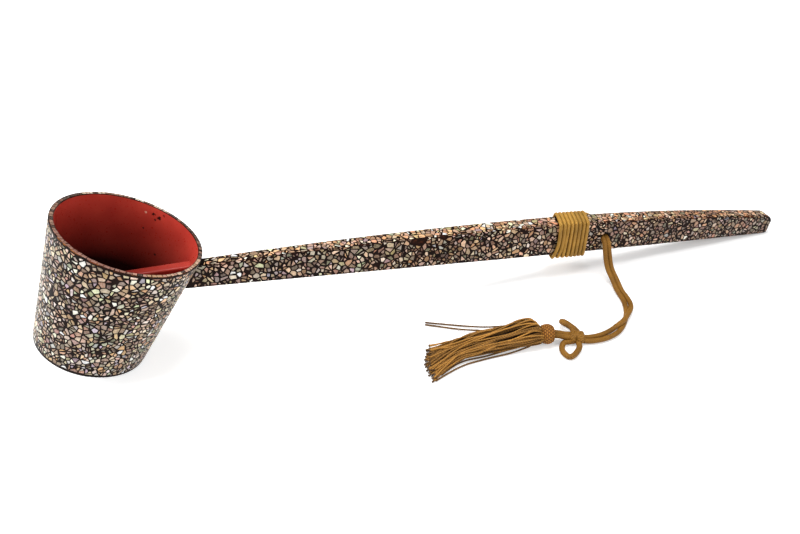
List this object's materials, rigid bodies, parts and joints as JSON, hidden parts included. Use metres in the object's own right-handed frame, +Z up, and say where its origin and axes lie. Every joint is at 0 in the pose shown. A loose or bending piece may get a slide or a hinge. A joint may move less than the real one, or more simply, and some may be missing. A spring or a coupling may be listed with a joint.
{
  "type": "water dipper",
  "caption": "Water dipper: tapered round cup, red inside, on a long bar handle; chip-set lacquer outside, cord wound on the handle ending in a bow and tassel.",
  "frame": {"origin": "middle of the bottom of the dipper's bounding box without its cord and tassel: the table it rests on, in the plane of symmetry", "axes": "+Z up as it rests on a table, +X from the cup towards the tip of the handle, Y = 0 is the plane of symmetry of cup and handle"},
  "size_m": [0.5465, 0.1342, 0.1095],
  "materials": {
    "black_lacquer": "glossy black-brown lacquer",
    "plain_wood": "bare turned wood",
    "shell_inlay": "dark lacquer set with broken shell chips, polished",
    "red_lacquer": "glossy vermilion lacquer",
    "rim_shell": "polished shell plates",
    "gold_cord": "old-gold braided silk cord",
    "tassel_threads": "old-gold twisted silk strands"
  },
  "bodies": {
    "root": {"cup_wall": "black_lacquer", "cup_bottom": "black_lacquer", "cup_inlay_skin": "shell_inlay", "cup_lining": "red_lacquer", "rim_plates": "rim_shell", "tang_wedge": "plain_wood", "handle_core": "plain_wood", "handle_inlay_skin": "shell_inlay", "tang_coat": "red_lacquer", "cord_winding": "gold_cord", "cord_link_direct": "gold_cord", "cord_link_over": "gold_cord", "cord_strand_left": "gold_cord", "cord_strand_right": "gold_cord", "bow_knot": "gold_cord", "bow_loop_front": "gold_cord", "bow_loop_back": "gold_cord", "tassel_cord_left": "gold_cord", "tassel_cord_right": "gold_cord", "tassel_head": "gold_cord", "tassel_neck": "gold_cord", "tassel_skirt": "tassel_threads"}
  },
  "joints": []
}
